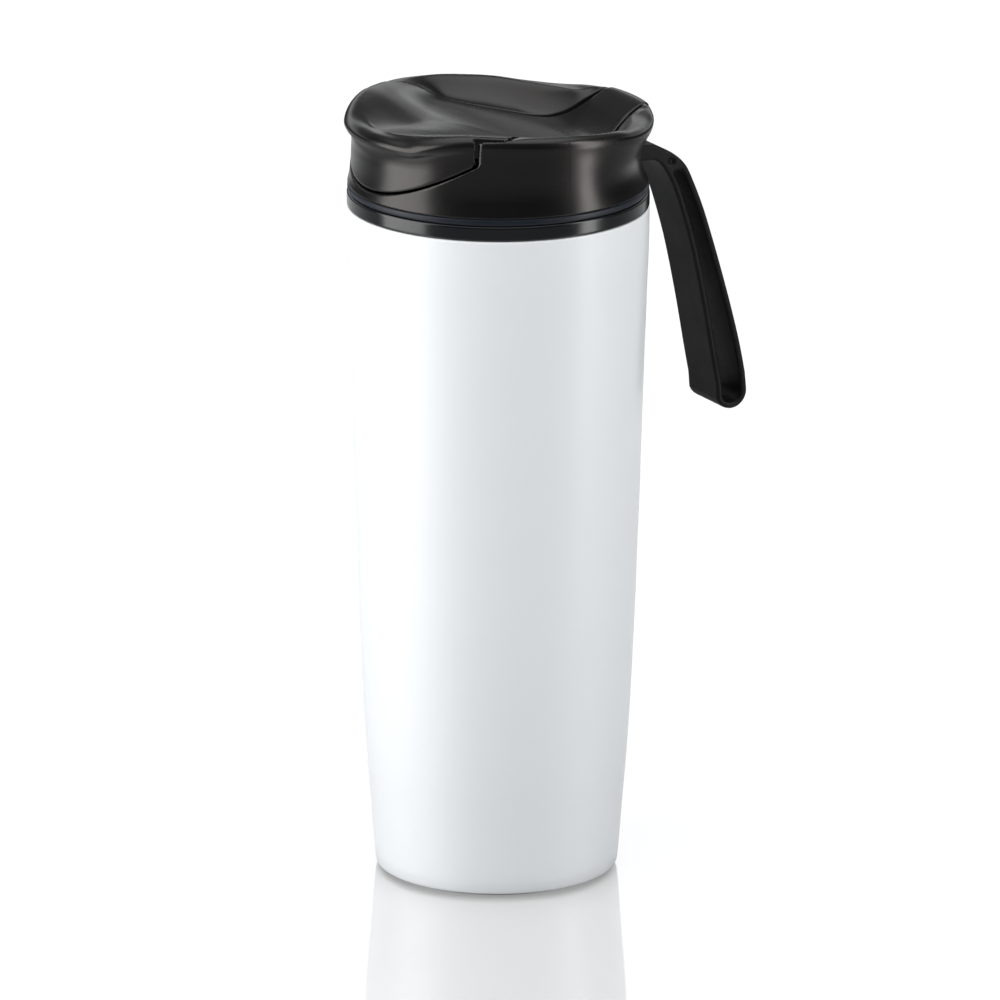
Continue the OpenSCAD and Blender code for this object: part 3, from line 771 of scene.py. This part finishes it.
def parting_line(look):
    """A fine groove down the wall where the two halves of the mould met, in the plane x = 0."""
    split = look.nodes.new("ShaderNodeSeparateXYZ")
    look.links.new(look.place, split.inputs["Vector"])
    beside = look.ranged(combined(look.tree, "ABSOLUTE", split.outputs["X"]), 0, 1, 0, PARTING_HALF)
    inside = look.ranged(combined(look.tree, "ABSOLUTE", split.outputs["Y"]), 1, 0, *PARTING_FROM_Y)
    look.bump(combined(look.tree, "MAXIMUM", beside, inside), PARTING_DEPTH)


def white_paint():
    look = Surface("shell_white", 0.38, Specular_IOR_Level=0.5, Coat_Weight=0.15, Coat_Roughness=0.28)
    dark, mid, light = shades((0.80, 0.825, 0.84), 0.008)
    base = look.tinted(look.noise(22, 4), (0.3, dark), (0.5, mid), (0.7, light))
    look.bump(look.noise(700, 2), 3e-6, 0.5)
    look.bump(look.noise(120, 1), 9e-6, 0.25)
    return look.finish(base, look.ranged(look.noise(60, 5), 0.35, 0.42))


def steel(name, stretch, colour=(0.62, 0.62, 0.63)):
    """Spun or drawn steel, with fine lines across the stretched direction."""
    look = Surface(name, 0.3, Metallic=1.0)
    dark, mid, light = shades(colour, 0.06)
    lines = look.noise(1, 4, place=look.stretched(stretch), roughness=0.7)
    base = look.tinted(lines, (0.3, dark), (0.5, mid), (0.7, light))
    look.bump(lines, 3e-6)
    return look.finish(base, look.ranged(lines, 0.2, 0.38))


def silicone(name, colour, clear=0.0):
    look = Surface(name, 0.42, Sheen_Weight=0.03, Specular_IOR_Level=0.35,
                   Subsurface_Weight=clear, Subsurface_Scale=0.002)
    dark, mid, light = shades(colour, 0.07)
    base = look.tinted(look.noise(70, 4), (0.3, dark), (0.5, mid), (0.7, light))
    look.bump(look.noise(1500, 2), 5e-6)
    return look.finish(base, look.ranged(look.noise(130, 4), 0.36, 0.5))


LOOKS = {
    "shell_white": white_paint(),
    "plastic_white": plastic("plastic_white", (0.72, 0.73, 0.74), 0.42),
    "collar_black": plastic("collar_black", (0.003, 0.0036, 0.0045), 0.19, grain=900, depth=1e-6),
    "lid_black": lid_plastic("lid_black"),
    "lid_black_parted": lid_plastic("lid_black_parted", parted=True),
    "handle_black": plastic("handle_black", (0.0042, 0.004, 0.0038), 0.46, spread=0.15, grain=1700,
                            depth=1.2e-5, Specular_IOR_Level=0.15),
    "base_black": plastic("base_black", (0.02, 0.02, 0.021), 0.45, spread=0.1),
    "seal_navy": silicone("seal_navy", (0.004, 0.0075, 0.014)),
    "silicone_grey": silicone("silicone_grey", (0.5, 0.52, 0.54), clear=0.3),
    "liner_steel": steel("liner_steel", (300, 300, 9000)),
    "screw_steel": steel("screw_steel", (5000, 5000, 800), (0.6, 0.6, 0.61)),
}

# --- Pieces --------------------------------------------------------------------------------------


def place(piece, body, slot, *nodes, look=None):
    """Puts a piece on its body, gives it its material and hides the nodes it stands in for."""
    piece.data.materials.append(LOOKS[look or slot])
    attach(piece, body)
    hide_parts(*nodes)
    return piece


SHELL_PROFILE = curve([(-187, 32.9), (-182.5, 33.4), (-174, 34.05), (-165, 34.75), (-157, 35.4), (-148, 36),
                       (-135, 36.7), (-122, 37.27), (-109, 37.8), (-96, 38.2), (-84, 38.62), (-67, 39.1),
                       (-54, 39.46), (-41, 39.85), (-29, 40.25), (-20, 40.53), (-12, 40.85), (0, 41)])
SHELL_T = 2.0
TOP_FILLET = 0.45
SEAL_R = 40.85
SEAL_INSET = 0.4
SEAL_FILLETS = (0.3, 0.7)


def make_shell():
    foot = SHELL_FOOT_H
    foot_r = float(SHELL_PROFILE(foot))
    outer = [(SHELL_PROFILE(h), h) for h in np.linspace(foot + 1.2, -0.7, 60)]
    turn_out = [(foot_r - 1 + math.sin(a), foot + 1 - math.cos(a))
                for a in np.radians(np.linspace(0, 85, 8))]
    turn_top = [(SHELL_R - TOP_FILLET + TOP_FILLET * math.cos(a), -TOP_FILLET + TOP_FILLET * math.sin(a))
                for a in np.radians(np.linspace(0, 90, 6))]
    inner = [(r - SHELL_T, h) for r, h in outer[::-1]]
    outline = [(foot_r - SHELL_T + 0.3, foot)] + turn_out + outer + turn_top
    return spin("shell_skin", outline + [(SHELL_R - SHELL_T, 0)] + inner)


def make_seal():
    inner, fillets = BORE_R + SEAL_INSET, SEAL_FILLETS
    corners = [(inner, SEAL_LOW_H, fillets[0]), (SEAL_R, SEAL_LOW_H, fillets[1]),
               (SEAL_R, SEAL_HIGH_H, fillets[1]), (inner, SEAL_HIGH_H, fillets[0])]
    return spin("lid_seal_ring", rounded(corners))


# Boxes to carve in, each a little larger than its solid
COLLAR_ROOM = (-42, -42, COLLAR_FOOT_H - 1), (42, 42, COLLAR_TOP_H + 1)
LID_ROOM = (-43, -43, TUBE_FOOT_H - 1), (44, 43, 29.5)
CAP_ROOM = (-44, -43, 7), (45, 43, 29.5)
HANDLE_ROOM = (SOCKET_X - 1, -STRAP_HALF - 1, -66), (HANDLE_TIP_X + 1, STRAP_HALF + 1, 15)

place(make_shell(), "tumbler", "shell_white", "outer_shell")
place(make_seal(), "lid_seal", "seal_navy", "lid_gasket")
place(carve("collar_band", collar, *COLLAR_ROOM), "tumbler", "collar_black", "collar")
place(carve("lid_shell", lid_body, *LID_ROOM), "lid", "lid_black", "lid_body", look="lid_black_parted")
place(carve("cap_shell", flip_cap, *CAP_ROOM), "cap", "lid_black", "flip_cap")
place(carve("handle_strap", handle, *HANDLE_ROOM, step=0.4), "lid", "handle_black", "handle")

SLOTS = {row["node"]: row["material_slot"] for row in frame["record"]["subparts"]}
for node, part in frame["nodes"].items():
    part.data.materials.clear()
    part.data.materials.append(LOOKS[SLOTS[node]])

# --- Stage, light and camera -----------------------------------------------------------------------

AZIMUTH = math.radians(-28.5)
PITCH = math.radians(16.23)
ROLL = math.radians(0.17)
CAMERA_DISTANCE = 3.5
LENS = 462.7
TARGET_RIGHT = 0.00073
TARGET_H = 0.10337
LIT_H = 0.12

# The room's light: from and to along a direction, and the light at each of the two
BACK_WALL = (0.2, 0.97, 0.14, 1.45)
BELOW_TOP = (0.315, 0.375, 1.0, 0.08)
ABOVE_FOOT = (0.12, 0.26, 0.04, 1.0)
OVERHEAD = (0.64, 0.92, 0.0, 1.8)
UP = Vector((0, 0, 1))
RIGHT = Vector((math.cos(AZIMUTH), math.sin(AZIMUTH), 0))
AWAY = Vector((-math.sin(AZIMUTH), math.cos(AZIMUTH), 0))


def add(name, data):
    made = bpy.data.objects.new(name, data)
    bpy.context.scene.collection.objects.link(made)
    return made


def aim(thing, at, roll=0.0):
    """Turns a light or camera towards a point."""
    turn = (at - thing.location).to_track_quat("-Z", "Y").to_matrix()
    thing.rotation_euler = (turn @ Matrix.Rotation(roll, 3, "Z")).to_euler()


def make_camera():
    camera = add("camera", bpy.data.cameras.new("camera"))
    target = RIGHT * TARGET_RIGHT + UP * TARGET_H
    rise = UP * (CAMERA_DISTANCE * math.sin(PITCH))
    camera.location = target - AWAY * CAMERA_DISTANCE * math.cos(PITCH) + rise
    camera.data.lens = LENS
    camera.data.sensor_width = 36
    camera.data.clip_end = 50
    aim(camera, target, ROLL)
    bpy.context.scene.camera = camera


def softbox(name, azimuth, elevation, distance, size, watts, reflected=True):
    """An area light; azimuth is measured from the camera's side, to the right."""
    data = bpy.data.lights.new(name, "AREA")
    data.shape = "RECTANGLE"
    data.size, data.size_y = size
    data.energy = watts
    light = add(name, data)
    az, el = math.radians(azimuth), math.radians(elevation)
    flat = RIGHT * math.sin(az) - AWAY * math.cos(az)
    middle = UP * LIT_H
    light.location = middle + flat * distance * math.cos(el) + UP * (distance * math.sin(el))
    aim(light, middle)
    light.visible_camera = False
    light.visible_glossy = reflected


def make_world():
    """Plain white to the eye, and a dim room with a bright back wall to the light."""
    world = bpy.data.worlds.new("studio")
    bpy.context.scene.world = world
    world.use_nodes = True
    tree = world.node_tree
    nodes, links = tree.nodes, tree.links
    nodes.clear()
    toward = nodes.new("ShaderNodeTexCoord").outputs["Generated"]

    def along(axis):
        dot = nodes.new("ShaderNodeVectorMath")
        dot.operation = "DOT_PRODUCT"
        links.new(toward, dot.inputs[0])
        dot.inputs[1].default_value = axis
        return dot.outputs["Value"]

    back = map_range(tree, along(AWAY), *BACK_WALL)
    below = map_range(tree, along(UP), *BELOW_TOP)
    above = map_range(tree, along(UP), *ABOVE_FOOT)
    overhead = map_range(tree, along(UP), *OVERHEAD)
    room = nodes.new("ShaderNodeBackground")
    room.inputs["Color"].default_value = (0.97, 0.985, 1, 1)
    band = combined(tree, "MULTIPLY", below, above)
    wall = combined(tree, "MULTIPLY", back, band)
    links.new(combined(tree, "ADD", wall, overhead), room.inputs["Strength"])
    plain = nodes.new("ShaderNodeBackground")
    plain.inputs["Color"].default_value = (1, 1, 1, 1)
    mix = nodes.new("ShaderNodeMixShader")
    links.new(nodes.new("ShaderNodeLightPath").outputs["Is Camera Ray"], mix.inputs["Fac"])
    links.new(room.outputs[0], mix.inputs[1])
    links.new(plain.outputs[0], mix.inputs[2])
    links.new(mix.outputs[0], nodes.new("ShaderNodeOutputWorld").inputs["Surface"])


# The floor's own light, as reflected and as seen
FLOOR_GLOW = (0.03, 0.27)
FLOOR_R = 1.8
FLOOR_SIDES = 96


def make_floor():
    look = Surface("floor_white", 0.05, Metallic=0.5, Emission_Color=(1, 1, 1, 1))
    base = look.tinted(look.noise(6, 3), (0.3, (0.45, 0.45, 0.45)), (0.7, (0.46, 0.46, 0.46)))
    direct = look.nodes.new("ShaderNodeLightPath").outputs["Is Camera Ray"]
    look.links.new(look.ranged(direct, *FLOOR_GLOW, 0, 1), look.shader.inputs["Emission Strength"])
    angles = np.linspace(0, 2 * math.pi, FLOOR_SIDES, endpoint=False)
    corners = [(FLOOR_R * math.cos(a), FLOOR_R * math.sin(a), 0) for a in angles]
    mesh = bpy.data.meshes.new("floor")
    mesh.from_pydata(corners, [], [list(range(FLOOR_SIDES))])
    mesh.materials.append(look.finish(base))
    floor = add("floor", mesh)
    floor.location.z = cad_low.z


make_camera()
make_world()
make_floor()
softbox("left_box", -75, 16, 0.55, (0.42, 0.62), 3.3)
softbox("right_box", 71, 16, 0.55, (0.14, 0.62), 1.65)
softbox("fill_box", -8, 30, 1.4, (1.2, 1.0), 6.5, reflected=False)
softbox("rear_fill_box", 168, 34, 1.6, (1.2, 1.0), 7, reflected=False)
bpy.context.scene.view_settings.view_transform = "Standard"
